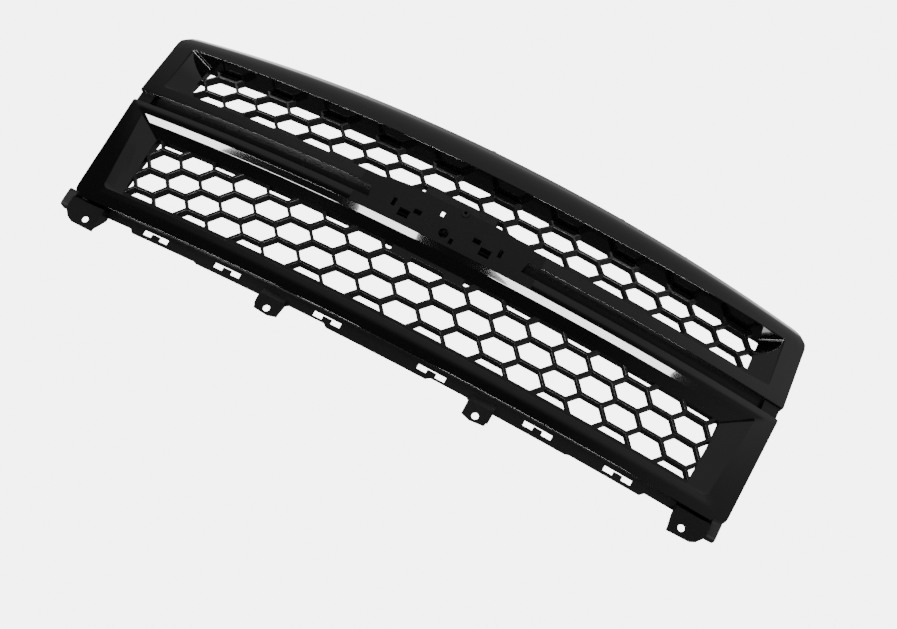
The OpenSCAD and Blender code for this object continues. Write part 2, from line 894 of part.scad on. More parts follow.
// Bracket at the right-hand end: tab, box back to the surround, and locating block
module end_bracket() {
  difference() {
    union() {
      translate([outer_tab_x, outer_tab_y, outer_tab_z])
        tab_plate(outer_tab_outline);
      // Plate behind the surround's corner
      intersection() {
        bowed(upright_band(bracket_c, 3, 20, 80));
        through()
          polygon([[471, 27], [524, 27], [536, 40], [536, 76], [490, 76], [490, 54], [471, 54]]);
      }
      // Roof and cheeks of the box
      intersection() {
        bowed([[-90, 15], [-90, 18], [bracket_c + 1, 34], [bracket_c + 1, 31]]);
        translate([outer_tab_x - 18, outer_tab_y, 0])
          cube([cheek_x + 3 - outer_tab_x + 18, 80, 60]);
      }
      for (cheek = [[outer_tab_x - 18, -31.5], [cheek_x, 3]])
        intersection() {
          bowed([[-90, 18], [bracket_c + 1, 34], [bracket_c + 1, 20], [-60, cheek[1]]]);
          translate([cheek[0], outer_tab_y, outer_tab_z - 11]) cube([3, 80, 60]);
        }
    }
    for (p = bracket_screws)
      pilot(p[0], -40, 60, p[1]);
    translate([cheek_x - 1, stud_y, stud_z])
      rotate([0, 90, 0])
        cylinder(d = 6.3, h = 5);
  }
}

// Soft block at the bracket's outer end that locates the grille between the lamps
module locating_block() {
  translate([cheek_x + 3, 0, 0])
    rotate([90, 0, 90])
      linear_extrude(block_w)
        offset(r = 5) offset(delta = -5)
          polygon([[block_y[0], block_z[0]], [block_y[1], block_z[0]],
                   [block_y[1], block_z[1]], [block_y[0], block_z[1]]]);
  translate([cheek_x - 2, stud_y, stud_z])
    rotate([0, 90, 0])
      cylinder(d = 6, h = 8);
}

module right_locating_block() {
  color(rubber_black) locating_block();
}

module left_locating_block() {
  color(rubber_black) mirror([1, 0, 0]) locating_block();
}

module right_end_bracket() {
  color(satin_black) end_bracket();
}

module left_end_bracket() {
  color(satin_black) mirror([1, 0, 0]) end_bracket();
}

// ---- Top rail ------------------------------------------------------------

top_rail_z = 363;
top_rail_t = 3;
top_rail_back_c = 66;
top_rail_end_x = 450;
ear_x = [inner_ear_x, outer_ear_x];
ear_c = 82;

module top_rail() {
  z0 = top_rail_z - top_rail_t;
  color(satin_black)
    difference() {
      union() {
        // Flange inside the rolled top, with a stiffening lip turned down at its rear
        intersection() {
          bowed([[12, z0], [12, top_rail_z], [top_rail_back_c, top_rail_z], [top_rail_back_c, z0 - 10],
                 [top_rail_back_c - 3, z0 - 10], [top_rail_back_c - 3, z0]]);
          through() square([2 * top_rail_end_x, 1000], center = true);
        }
        both_sides()
          for (x = ear_x)
            translate([x, bow_y(x, ear_c), z0])
              linear_extrude(top_rail_t)
                translate([-15, -28]) square([30, 43]);
      }
      both_sides()
        for (x = ear_x)
          translate([x, bow_y(x, ear_c), z0 - 1])
            cylinder(d = ear_hole_d, h = 10);
      for (x = top_rail_x)
        on_bow(x, top_rail_c, z0 - 1)
          cylinder(d = screw_d + 0.3, h = 10);
    }
}

// Spring nut clipped over an ear from its rear edge, with a barrel below
nut_t = 1.2;
nut_w = 18;
nut_barrel_d = 11;
nut_bore_d = 6;

module top_ear_nuts() {
  color(zinc)
    both_sides()
      for (x = ear_x)
        translate([x, bow_y(x, ear_c), top_rail_z - top_rail_t])
          difference() {
            union() {
              for (z = [-nut_t, top_rail_t])
                translate([-nut_w / 2, -9, z]) cube([nut_w, 9 + 15 + nut_t, nut_t]);
              translate([-nut_w / 2, 15 + eps, -nut_t]) cube([nut_w, nut_t, top_rail_t + 2 * nut_t]);
              translate([0, 0, -nut_t - 5]) cylinder(d = nut_barrel_d, h = 5 + nut_t);
            }
            translate([0, 0, -10]) cylinder(d = nut_bore_d, h = 20);
          }
}

// ---- Screws --------------------------------------------------------------

// Pan-head screw standing on its head, driven upwards
module upright_screw(x, c, z, length) {
  on_bow(x, c, z)
    rotate([-90, 0, 0])
      screw_body(length);
}

module upper_mesh_screws() {
  color(zinc) {
    for (x = up_head_x)
      screw(x, up_head_c + ear_t, up_head_boss_z, 14);
    for (x = up_sill_x)
      screw(x, up_sill_c + ear_t, up_sill_boss_z, 10);
  }
}

module lower_mesh_screws() {
  color(zinc) {
    for (x = low_head_x)
      screw(x, low_head_c + ear_t, low_head_boss_z, 9);
    for (x = low_sill_x)
      screw(x, low_sill_c + ear_t, low_sill_boss_z, 7.5);
  }
}

module center_bar_screws() {
  color(zinc) {
    for (x = bar_x)
      screw(x, bar_floor_c + floor_t, bar_boss_z, 9);
    for (x = bar_up_x)
      screw(x, bar_floor_c + floor_t, bar_up_boss_z, 9);
  }
}

module badge_plate_screws() {
  color(zinc)
    for (x = plate_x)
      screw(x, plate_c + 3, plate_z, 8);
}

module bottom_rail_screws() {
  color(zinc)
    for (x = rail_x)
      upright_screw(x, rail_screw_c, skirt_top_z - 3, 14);
}

module top_rail_screws() {
  color(zinc)
    for (x = top_rail_x)
      upright_screw(x, top_rail_c, top_rail_z - top_rail_t, 10);
}

module end_bracket_screws() {
  color(zinc)
    both_sides()
      for (p = bracket_screws)
        screw(p[0], bracket_c + 3, p[1], 8);
}

upper_surround();
lower_surround();
center_bar();
upper_mesh();
lower_mesh();
bottom_rail();
left_end_bracket();
right_end_bracket();
left_locating_block();
right_locating_block();
left_channel_cap();
right_channel_cap();
top_rail();
top_ear_nuts();
badge_plate();
upper_mesh_screws();
lower_mesh_screws();
center_bar_screws();
badge_plate_screws();
bottom_rail_screws();
top_rail_screws();
end_bracket_screws();
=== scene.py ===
"""Front grille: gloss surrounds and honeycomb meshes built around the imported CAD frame."""
import json
import math

import bmesh
import bpy
from mathutils import Matrix, Vector


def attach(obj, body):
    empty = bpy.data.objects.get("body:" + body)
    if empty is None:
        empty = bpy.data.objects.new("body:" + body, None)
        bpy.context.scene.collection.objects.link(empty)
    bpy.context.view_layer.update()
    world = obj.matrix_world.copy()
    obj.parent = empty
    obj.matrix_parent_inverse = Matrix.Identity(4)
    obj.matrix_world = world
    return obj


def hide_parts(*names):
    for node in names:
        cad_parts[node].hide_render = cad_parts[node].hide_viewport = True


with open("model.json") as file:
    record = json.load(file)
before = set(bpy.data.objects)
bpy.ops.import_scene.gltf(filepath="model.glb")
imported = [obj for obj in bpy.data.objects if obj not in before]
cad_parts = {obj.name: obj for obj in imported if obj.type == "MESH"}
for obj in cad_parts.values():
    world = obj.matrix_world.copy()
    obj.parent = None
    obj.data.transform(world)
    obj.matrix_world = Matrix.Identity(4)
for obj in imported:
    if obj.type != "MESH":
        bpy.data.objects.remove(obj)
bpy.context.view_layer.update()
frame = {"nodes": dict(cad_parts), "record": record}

MM = 0.001
TAU = 2 * math.pi

# ---- Dimensions shared with the frame, in millimetres -----------------------
# Every part is bowed in plan about one upright axis. A place on it is given by its
# station x, its height z and its setback c, the distance behind the bow through MESH_Y.

BOW_R = 1840.0
MESH_Y = 25.0
AXIS_Y = BOW_R + MESH_Y
LOW_Z, LOW_LEAN = 126.0, math.radians(6.4)  # middle of the lower mesh and its backward lean
UP_Z, UP_LEAN, UP_BACK = 305.8, math.radians(19.4), 26.6  # the same of the upper mesh, and its setback
DRAW_TILT = LOW_LEAN  # the cells of both meshes run along this tilt
FACE_FOOT_Z, FACE_FOOT_C, FACE_LEAN = 37, -25, math.radians(3.4)  # front face of the surrounds

MESH_D = 18.0
MESH_GAP = 0.3  # between a mesh and the surround in front of it
WEB = 4.6
CELL_DX, CELL_DZ = 50.0, 38.2  # pitch of the columns, and of the cells in a column
FLAT_HALF = CELL_DX * 0.335
POINT_HALF = CELL_DX - FLAT_HALF
CELL_CORNER_R = 1.6
MIN_CELL_AREA = 25  # smaller leftovers at a rim stay solid
MESH_STEP = 12.5  # width of the facets that follow the bow
LOW_RIM = (60.0, 190.0)
UP_RIM = (262.0, 339.0)
PAD_HALF = 59.0  # half width of the solid pads next to the badge land

SKIN = 2.8
SEAM = 0.15  # clearance beside the badge land
HEAD_HOLLOW = 0.9  # extra depth of the lower window's head wall
EDGE_RUN = 3.25  # depth of the strip of wall that carries an edge's fillet
LAND_X = 150.0
SEAT_Z = (200, 266)
SEAT_DEPTH = 3.2
ARCH_Z, ARCH_DROP, ARCH_X = 392, 17, 540  # crown of the top edge, and its drop at station ARCH_X
ROLL_Z, ROLL_C, ROLL_R = 339.0, 38.0, 45.0  # start, rear setback and radius of the rolled top
ROLL_TURN = math.radians(66)  # part of the roll in front of the upper edge loop
UP_CORNER_Z, CORNER_BLEND_Z = 379, 356  # heights of the upper loop before it follows the arch

# Stations of the screws, with the height and radius of their bosses
LOW_HEAD_X = (-455, -330, -200, 200, 330, 455)
LOW_SILL_X = (-430, -310, -120, 120, 310, 430)
UP_HEAD_X = (-440, -320, -190, -60, 60, 190, 320, 440)
UP_SILL_X = (-460, -340, -200, 200, 340, 460)
BAR_X = (-500, -395, -265, 265, 395, 500)
BAR_UP_X = (-500, -400, -270, 270, 400, 500)
TOP_RAIL_X = (-330, -220, 0, 220, 330)
RAIL_X = (-440, -200, 0, 200, 440)
LOW_HEAD_Z, LOW_SILL_Z = 199, 54
UP_HEAD_Z, UP_SILL_Z = 348, 252
BAR_Z, BAR_UP_Z, BAR_FLOOR_C = 214, 251, -1.95
TOP_RAIL_Z, TOP_RAIL_C = 363.0, 28.0
RAIL_BOSS_Z, RAIL_BOSS_L, RAIL_SCREW_C = 61, 17, -7.0
MESH_BOSS_R, BAR_BOSS_R = 4.5, 4.0
EAR_R, EAR_HOLE_R, EAR_T = 6.5, 2.3, 3.0

# Points round each loop of a surround: along head and sill, along a jamb, round a corner
N_LONG, N_SHORT, N_CORNER = 64, 12, 6
DOWN = Vector((0, 0, -1))


def bow_y(x, c):
    """Depth coordinate of setback c at station x."""
    return AXIS_Y - math.sqrt((BOW_R - c) ** 2 - x * x)


def setback(p):
    return BOW_R - math.hypot(p[0], AXIS_Y - p[1])


def bow_back(x):
    return BOW_R - math.sqrt(BOW_R * BOW_R - x * x)


def face_c(z):
    """Setback of the surrounds' front face."""
    return FACE_FOOT_C + (z - FACE_FOOT_Z) * math.tan(FACE_LEAN)


def low_c(z):
    """Setback of the middle of the lower mesh."""
    return (z - LOW_Z) * math.tan(LOW_LEAN)


def up_c(z):
    """Setback of the middle of the upper mesh."""
    return UP_BACK + (z - UP_Z) * math.tan(UP_LEAN)


def arch_z(x):
    """Height of the arched top edge."""
    return ARCH_Z - ARCH_DROP * (x / ARCH_X) ** 2


def lerp(a, b, t):
    return a + (b - a) * t


def smooth(a, b, v):
    t = min(1.0, max(0.0, (v - a) / (b - a)))
    return t * t * (3 - 2 * t)


# ---- Materials --------------------------------------------------------------

def node(tree, kind, inputs=None, **settings):
    """New shader node with its settings and the values of its unlinked inputs."""
    n = tree.nodes.new(kind)
    for key, value in settings.items():
        setattr(n, key, value)
    for key, value in (inputs or {}).items():
        n.inputs[key].default_value = value
    return n


def material(name, color, rough, spread, bump, scale,
             coat=0.0, coat_rough=0.03, metallic=0.0, color_var=0.15):
    """Moulded or plated surface: colour, roughness and fine grain all vary with object position."""
    mat = bpy.data.materials.new(name)
    mat.use_nodes = True
    tree = mat.node_tree
    tree.nodes.clear()
    link = tree.links.new
    out = node(tree, "ShaderNodeOutputMaterial")
    bsdf = node(tree, "ShaderNodeBsdfPrincipled", {"Metallic": metallic, "IOR": 1.5, "Coat Weight": coat,
                                                   "Coat Roughness": coat_rough})
    link(bsdf.outputs[0], out.inputs[0])
    pos = node(tree, "ShaderNodeTexCoord").outputs["Object"]
    broad = node(tree, "ShaderNodeTexNoise", {"Scale": 9.0, "Detail": 3.0})
    link(pos, broad.inputs["Vector"])
    dark, light = [(*(c * share for c in color), 1) for share in (1 - color_var, 1 + color_var)]
    # Inputs 6 and 7 are the two colours of a Mix node
    tint = node(tree, "ShaderNodeMix", {6: dark, 7: light}, data_type="RGBA")
    link(broad.outputs[0], tint.inputs[0])
    link(tint.outputs[2], bsdf.inputs["Base Color"])
    wear = node(tree, "ShaderNodeMapRange", {"To Min": rough - spread, "To Max": rough + spread})
    link(broad.outputs[0], wear.inputs["Value"])
    link(wear.outputs[0], bsdf.inputs["Roughness"])
    if bump:
        grain = node(tree, "ShaderNodeTexNoise", {"Scale": scale, "Detail": 4.0, "Roughness": 0.6})
        link(pos, grain.inputs["Vector"])
        relief = node(tree, "ShaderNodeBump", {"Strength": 1.0, "Distance": bump})
        link(grain.outputs[0], relief.inputs["Height"])
        link(relief.outputs[0], bsdf.inputs["Normal"])
    return mat


# Slot name to material: colour, roughness and its spread, grain depth in metres and grain scale
FINISHES = {
    "gloss_black": material("gloss_black_paint", (0.003, 0.003, 0.0034), 0.07, 0.02, 0.000002, 40.0,
                            coat=1.0, coat_rough=0.015),
    "satin_black": material("satin_black_moulding", (0.017, 0.017, 0.0175), 0.28, 0.05, 0.00006, 900.0),
    "dark_grey": material("dark_grey_moulding", (0.016, 0.016, 0.017), 0.45, 0.05, 0.00008, 900.0),
    "rubber_black": material("soft_black_rubber", (0.01, 0.01, 0.01), 0.7, 0.06, 0.00012, 700.0),
    "zinc": material("black_zinc_plating", (0.09, 0.09, 0.10), 0.34, 0.1, 0.00003, 1200.0, metallic=1.0),
}


# ---- Mesh building ----------------------------------------------------------

def add(obj, kind, **values):
    """Modifier with its settings."""
    mod = obj.modifiers.new(kind.lower(), kind)
    for key, value in values.items():
        setattr(mod, key, value)


def placed(name, data):
    """Object that holds the data, linked to the scene."""
    obj = bpy.data.objects.new(name, data)
    bpy.context.scene.collection.objects.link(obj)
    return obj


def evaluated_mesh(obj):
    """Mesh of an object with its modifiers or its curve applied."""
    dg = bpy.context.evaluated_depsgraph_get()
    return bpy.data.meshes.new_from_object(obj.evaluated_get(dg))


def ring(low, high, r_low, r_high):
    """Loop round a window symmetrical about x = 0, anticlockwise from the bottom left corner's arc.

    low and high are the half width and height of the lower and upper corners.
    """
    corners = [(-low[0], low[1]), (low[0], low[1]), (high[0], high[1]), (-high[0], high[1])]
    radii = (r_low, r_low, r_high, r_high)
    pts = []
    count = len(corners)
    arcs = []
    for i, (px, pz) in enumerate(corners):
        ax, az = corners[i - 1]
        bx, bz = corners[(i + 1) % count]
        ua = Vector((ax - px, az - pz)).normalized()
        ub = Vector((bx - px, bz - pz)).normalized()
        half = math.acos(max(-1.0, min(1.0, ua.dot(ub)))) / 2
        reach = radii[i] / math.tan(half)
        p = Vector((px, pz))
        a, b = p + ua * reach, p + ub * reach
        centre = p + (ua + ub).normalized() * (radii[i] / math.sin(half))
        va, vb = a - centre, b - centre
        sweep = math.atan2(va.x * vb.y - va.y * vb.x, va.dot(vb))
        arc = []
        for k in range(N_CORNER + 1):
            cos, sin = math.cos(sweep * k / N_CORNER), math.sin(sweep * k / N_CORNER)
            arc.append(centre + Vector((va.x * cos - va.y * sin, va.x * sin + va.y * cos)))
        arcs.append(arc)
    for i in range(count):
        pts += arcs[i]
        n = N_LONG if i % 2 == 0 else N_SHORT
        a, b = arcs[i][-1], arcs[(i + 1) % count][0]
        pts += [a.lerp(b, k / n) for k in range(1, n)]
    return [(p.x, p.y) for p in pts]


def filleted(points, radii, n=6):
    """Profile polyline with its inner corners rounded; every corner gives n + 1 points."""
    out = [points[0]]
    for i in range(1, len(points) - 1):
        p, a, b = Vector(points[i]), Vector(points[i - 1]), Vector(points[i + 1])
        if not radii[i]:
            out.append(p)
            continue
        ua, ub = a - p, b - p
        la, lb = ua.length, ub.length
        ua.normalize()
        ub.normalize()
        half = ua.angle(ub) / 2
        reach = min(radii[i] / max(math.tan(half), 1e-4), 0.48 * la, 0.48 * lb)
        s, e = p + ua * reach, p + ub * reach
        for k in range(n + 1):
            t = k / n
            out.append(s * (1 - t) ** 2 + p * 2 * t * (1 - t) + e * t * t)
    out.append(points[-1])
    return out


def boss_mesh(bm, start, axis, length, r, n=20):
    """Round boss that starts at a point and runs along an axis, with a chamfered end."""
    side = axis.orthogonal().normalized()
    other = axis.cross(side)
    rings = []
    for along, rr in ((0, r), (length - 0.5, r), (length, r - 0.5)):
        centre = start + axis * along
        turns = [(rr * math.cos(TAU * k / n), rr * math.sin(TAU * k / n)) for k in range(n)]
        rings.append([bm.verts.new(centre + side * p + other * q) for p, q in turns])
    for lower, upper in zip(rings, rings[1:]):
        for k in range(n):
            j = (k + 1) % n
            bm.faces.new((lower[k], lower[j], upper[j], upper[k]))
    bm.faces.new(rings[0][::-1])
    bm.faces.new(rings[-1])


def square_boss(x, c0, c1, z, r):
    """Boss square to the bow at station x, from setback c0 to c1."""
    ang = math.asin(x / BOW_R)
    axis = Vector((-math.sin(ang), math.cos(ang), 0))
    return (Vector((x, bow_y(x, 0), z)) + axis * c0, axis, c1 - c0, r)


def ring_shell(name, loops, radii, bosses):
    """Lofts matching loops into a frame-shaped skin with rounded edges, thickens it and adds bosses.

    The faces in front of the badge land are left out, so the land sits in an open seat.
    """
    count = len(loops[0])
    rows = [filleted([Vector(loop[i]) for loop in loops], radii(i)) for i in range(count)]
    depth = len(rows[0])
    bm = bmesh.new()
    grid = [[bm.verts.new(v) for v in row] for row in rows]
    for i in range(count):
        j = (i + 1) % count
        for k in range(depth - 1):
            bm.faces.new((grid[i][k], grid[i][k + 1], grid[j][k + 1], grid[j][k]))
    for x in (-LAND_X - SEAM, LAND_X + SEAM):
        bmesh.ops.bisect_plane(bm, geom=bm.verts[:] + bm.edges[:] + bm.faces[:],
                               plane_co=(x, 0, 0), plane_no=(1, 0, 0))
    seat = []
    for face in bm.faces:
        mid = face.calc_center_median()
        if abs(mid.x) < LAND_X + SEAM and SEAT_Z[0] < mid.z < SEAT_Z[1]:
            if all(setback(v.co) < face_c(v.co.z) + SEAT_DEPTH for v in face.verts):
                seat.append(face)
    bmesh.ops.delete(bm, geom=seat, context="FACES")
    raw = bpy.data.meshes.new(name + "_skin")
    bm.to_mesh(raw)
    bm.free()
    skin = placed(name + "_skin", raw)
    add(skin, "SOLIDIFY", thickness=SKIN, offset=-1.0, use_even_offset=True, use_rim=True)
    done = evaluated_mesh(skin)
    bm = bmesh.new()
    bm.from_mesh(done)
    for boss in bosses:
        boss_mesh(bm, *boss)
    bpy.data.objects.remove(skin)
    bpy.data.meshes.remove(raw)
    bpy.data.meshes.remove(done)
    return finish_bmesh(bm, name, "gloss_black", recalc=False)


def loop3(points, c_of):
    """Points of a loop at the setback that c_of gives."""
    return [(x, bow_y(x, c_of(x, z)), z) for x, z in points]


def jamb_share(x, z, x_from, z_from, z_to):
    """1 on a window's jamb, 0 on its head and sill, blended between."""
    upright = smooth(z_from, z_from + 10, z) * (1 - smooth(z_to - 14, z_to - 2, z))
    return smooth(x_from - 12, x_from + 4, abs(x)) * upright


def on_wall(front, back, c_front, c_back, depth):
    """Loop on the wall between two loops, a given depth behind the front one."""
    pts = []
    for (fx, fz), (bx, bz) in zip(front, back):
        t = min(0.7, depth / (c_back(bz) - c_front(fz)))
        x, z = lerp(fx, bx, t), lerp(fz, bz, t)
        pts.append((x, bow_y(x, lerp(c_front(fz), c_back(bz), t)), z))
    return pts


def build_lower_surround():
    def mesh_front(z):
        return low_c(z) - MESH_D / 2 - MESH_GAP

    def knee_c(z):
        share = lerp(0.65, 0.35, smooth(80, 180, z))
        return lerp(face_c(z), mesh_front(z), share) + HEAD_HOLLOW * smooth(150, 185, z)

    def flange_c(z):
        return lerp(face_c(z) + 6, lerp(18, 0, smooth(205, 219, z)), smooth(38, 60, z))

    inner = ring((471.8, 67.8), (481, 176.8), 3, 3)
    knee = ring((483.7, 67.2), (509.1, 195.1), 6, 3)
    window = ring((505.7, 66), (524.3, 205), 10, 4)
    crest = ring((526, 51), (541, 214), 14, 4)
    outer = ring((546.3, 37), (556, 223), 18, 2.5)
    loops = [
        loop3(inner, lambda x, z: mesh_front(z)),
        loop3(knee, lambda x, z: knee_c(z)),
        on_wall(window, knee, face_c, knee_c, EDGE_RUN),
        loop3(window, lambda x, z: face_c(z)),
        loop3(crest, lambda x, z: face_c(z) - 0.5),
        loop3(outer, lambda x, z: face_c(z)),
        loop3(outer, lambda x, z: face_c(z) + EDGE_RUN),
        loop3(outer, lambda x, z: flange_c(z)),
    ]

    def radii(i):
        side = jamb_share(*window[i], 505, 66, 205)
        return (0, lerp(12, 60, side), 0, lerp(1.6, 3.2, side), 900, lerp(2.2, 3.0, side), 0, 0)

    head = low_c(LOW_RIM[1]) - MESH_D / 2
    sill = low_c(LOW_RIM[0]) - MESH_D / 2
    bosses = [square_boss(x, face_c(LOW_HEAD_Z) + 9, head, LOW_HEAD_Z, MESH_BOSS_R) for x in LOW_HEAD_X]
    bosses += [square_boss(x, face_c(LOW_SILL_Z) + 1, sill, LOW_SILL_Z, MESH_BOSS_R) for x in LOW_SILL_X]
    bosses += [square_boss(x, face_c(BAR_Z) + 1, BAR_FLOOR_C, BAR_Z, BAR_BOSS_R) for x in BAR_X]
    return ring_shell("lower_surround_shell", loops, radii, bosses)


def build_upper_surround():
    def mesh_front(z):
        return up_c(z) - MESH_D / 2 - MESH_GAP

    def crown(x):
        return arch_z(x) - ROLL_Z

    def front_c(x, z):
        if z <= ROLL_Z:
            return face_c(z)
        s = min(1.0, (z - ROLL_Z) / crown(x))
        return face_c(ROLL_Z) + ROLL_R * (1 - math.sqrt(1 - s * s))

    inner = ring((483.4, 263), (484.5, 332.4), 3, 3)
    window = ring((521.5, 260), (515.5, 339), 5, 4)
    flat = ring((556, 241.5), (547, UP_CORNER_Z), 2.5, 38)
    turn = math.sin(ROLL_TURN)
    outer = [(x, z if z < ROLL_Z else
              ROLL_Z + (z - ROLL_Z) / (UP_CORNER_Z - ROLL_Z) * crown(x) * turn) for x, z in flat]

    def between(share):
        pts = [(lerp(bx, ox, share), lerp(bz, oz, share)) for (bx, bz), (ox, oz) in zip(window, outer)]
        return loop3(pts, front_c)

    back, edge = [], []
    for (x, z), (_, flat_z) in zip(outer, flat):
        top = smooth(CORNER_BLEND_Z, UP_CORNER_Z, flat_z)
        back_c = lerp(5, ROLL_C, smooth(246, 262, z))
        back_z = lerp(z, arch_z(x), top)
        back.append((x, bow_y(x, back_c), back_z))
        if z < 300:
            edge_c, edge_z = max(front_c(x, z) + 0.5, min(face_c(z) + EDGE_RUN, ROLL_C - 3)), z
        else:
            edge_c, edge_z = lerp(front_c(x, z), ROLL_C, 0.3), lerp(z, back_z, 0.3)
        edge.append((x, bow_y(x, edge_c), edge_z))

    loops = [
        loop3(inner, lambda x, z: mesh_front(z)),
        on_wall(window, inner, face_c, mesh_front, EDGE_RUN),
        loop3(window, front_c),
        between(0.34),
        between(0.68),
        loop3(outer, front_c),
        edge,
        back,
    ]

    def radii(i):
        side = jamb_share(*window[i], 510, 260, 339)
        top = smooth(CORNER_BLEND_Z, UP_CORNER_Z, flat[i][1])
        crease = lerp(lerp(2.2, 3.0, side), 60, top)
        return (0, 0, lerp(1.6, 3.2, side), 80, 80, crease, lerp(0.01, 80, top), 0)

    head = up_c(UP_RIM[1]) - MESH_D / 2
    sill = up_c(UP_RIM[0]) - MESH_D / 2
    bosses = [square_boss(x, 6, head, UP_HEAD_Z, MESH_BOSS_R) for x in UP_HEAD_X]
    bosses += [square_boss(x, face_c(UP_SILL_Z) + 1, sill, UP_SILL_Z, MESH_BOSS_R) for x in UP_SILL_X]
    bosses += [square_boss(x, face_c(BAR_UP_Z) + 1, BAR_FLOOR_C, BAR_UP_Z, BAR_BOSS_R) for x in BAR_UP_X]
    for x in TOP_RAIL_X:
        top = arch_z(x) - 2
        bosses.append((Vector((x, bow_y(x, TOP_RAIL_C), top)), DOWN, top - TOP_RAIL_Z, BAR_BOSS_R))
    return ring_shell("upper_surround_shell", loops, radii, bosses)


# ---- Honeycomb --------------------------------------------------------------

def clip(poly, nx, nz, d):
    """Keeps the part of a polygon where nx * x + nz * z <= d."""
    out = []
    for i, p in enumerate(poly):
        q = poly[(i + 1) % len(poly)]
        sp, sq = nx * p[0] + nz * p[1] - d, nx * q[0] + nz * q[1] - d
        if sp <= 0:
            out.append(p)
        if (sp < 0 < sq) or (sq < 0 < sp):
            t = sp / (sp - sq)
            out.append((lerp(p[0], q[0], t), lerp(p[1], q[1], t)))
    return out


def area(poly):
    """Signed area, positive when anticlockwise."""
    return sum(p[0] * q[1] - q[0] * p[1] for p, q in zip(poly, poly[1:] + poly[:1])) / 2


def inset(poly, d):
    """Convex polygon moved in by d on every side."""
    if area(poly) < 0:
        poly = poly[::-1]
    out = poly
    n = len(poly)
    for i in range(n):
        p, q = poly[i], poly[(i + 1) % n]
        ex, ez = q[0] - p[0], q[1] - p[1]
        length = math.hypot(ex, ez)
        if length < 1e-6:
            continue
        nx, nz = ez / length, -ex / length
        out = clip(out, nx, nz, nx * p[0] + nz * p[1] - d)
        if len(out) < 3:
            return []
    return out


def rounded(poly, r, n=3):
    """Polygon with every corner cut to an arc of about radius r."""
    out = []
    count = len(poly)
    for i in range(count):
        p, a, b = Vector(poly[i]), Vector(poly[i - 1]), Vector(poly[(i + 1) % count])
        ua, ub = a - p, b - p
        la, lb = ua.length, ub.length
        if min(la, lb) < 0.05:
            continue
        ua.normalize()
        ub.normalize()
        half = math.acos(max(-1, min(1, ua.dot(ub)))) / 2
        if half > 1.5:
            out.append((p.x, p.y))
            continue
        reach = min(r / math.tan(half), 0.4 * la, 0.4 * lb)
        s, e = p + ua * reach, p + ub * reach
        for k in range(n + 1):
            t = k / n
            v = s * (1 - t) ** 2 + p * 2 * t * (1 - t) + e * t * t
            out.append((v.x, v.y))
    return out


def level_rise(x):
    """Rise of a level line in the pattern, which is seen along the tilted draw direction."""
    return bow_back(x) * math.sin(DRAW_TILT)


def on_pattern(s, z):
    """Pattern point for arc length s along the bow."""
    x = BOW_R * math.sin(s / BOW_R)
    return (x, z + level_rise(x))


def honeycomb(pitch, rows, parity, low_v, high_v, half_x, pad):
    """Cell openings as outlines of (x, height), cut off by the rim and by the solid pad in the middle.

    pad is the height of the pad's edge and the side it lies on, 1 above or -1 below.
    """
    edge, up = pad
    cells = []
    corners = [(FLAT_HALF, 1), (POINT_HALF, 0), (FLAT_HALF, -1),
               (-FLAT_HALF, -1), (-POINT_HALF, 0), (-FLAT_HALF, 1)]
    for i in range(-10, 11):
        for j in range(-rows, rows + 1):
            if abs(i + j) % 2 != parity:
                continue
            poly = [on_pattern(i * CELL_DX + k[0], (j + k[1]) * pitch / 2) for k in corners]
            poly = inset(poly, WEB / 2)
            mid = BOW_R * math.sin(i * CELL_DX / BOW_R)
            slope = (level_rise(mid + 5) - level_rise(mid - 5)) / 10
            base = level_rise(mid) - slope * mid
            poly = clip(poly, -slope, 1, base + high_v)
            if len(poly) > 2:
                poly = clip(poly, slope, -1, -(base + low_v))
            for side in (-1, 1):
                if len(poly) > 2:
                    poly = clip(poly, side, 0, half_x)
            if len(poly) > 2 and abs(i) <= 1 and (up * j + 1) * pitch / 2 > up * edge:
                poly = clip(poly, -i, 0, -PAD_HALF) if i else clip(poly, 0, up, up * edge)
            if len(poly) > 2 and abs(area(poly)) > MIN_CELL_AREA:
                cells.append(rounded(poly, CELL_CORNER_R))
    return cells


def plate_from_outlines(name, outlines, depth, edge, step=None):
    """Flat plate in (x, z) with holes and rounded edges; returns a bmesh with local (x, depth, z) in mm."""
    curve = bpy.data.curves.new(name + "_outline", "CURVE")
    curve.dimensions = "2D"
    curve.fill_mode = "BOTH"
    curve.extrude = depth / 2 - edge
    curve.bevel_depth = edge
    curve.bevel_resolution = 2
    curve.offset = -edge
    for line in outlines:
        spline = curve.splines.new("POLY")
        spline.points.add(len(line) - 1)
        for p, (x, z) in zip(spline.points, line):
            p.co = (x, z, 0, 1)
        spline.use_cyclic_u = True
    tmp = placed(name + "_tmp", curve)
    mesh = evaluated_mesh(tmp)
    bm = bmesh.new()
    bm.from_mesh(mesh)
    bpy.data.objects.remove(tmp)
    bpy.data.curves.remove(curve)
    bpy.data.meshes.remove(mesh)
    bmesh.ops.remove_doubles(bm, verts=bm.verts, dist=0.001)
    if step:
        xs = [v.co.x for v in bm.verts]
        x = math.ceil(min(xs) / step) * step
        while x < max(xs):
            bmesh.ops.bisect_plane(bm, geom=bm.verts[:] + bm.edges[:] + bm.faces[:], plane_co=(x, 0, 0),
                                   plane_no=(1, 0, 0), dist=0.0005)
            x += step
    for v in bm.verts:
        v.co = Vector((v.co.x, -v.co.z, v.co.y))
    return bm


def drawn_point(u, v, w, z0, c0, lean_c):
    """World point of pattern point (u, v), w behind the middle of the mesh along the draw direction."""
    ct, st = math.cos(DRAW_TILT), math.sin(DRAW_TILT)
    lam = 0.0
    for _ in range(6):
        y = MESH_Y + c0 + lam * ct + v * st
        z = z0 + v * ct - lam * st
        c = BOW_R - math.hypot(u, AXIS_Y - y)
        lam += (lean_c(z) + w - c) / ct
    return Vector((u, y, z))


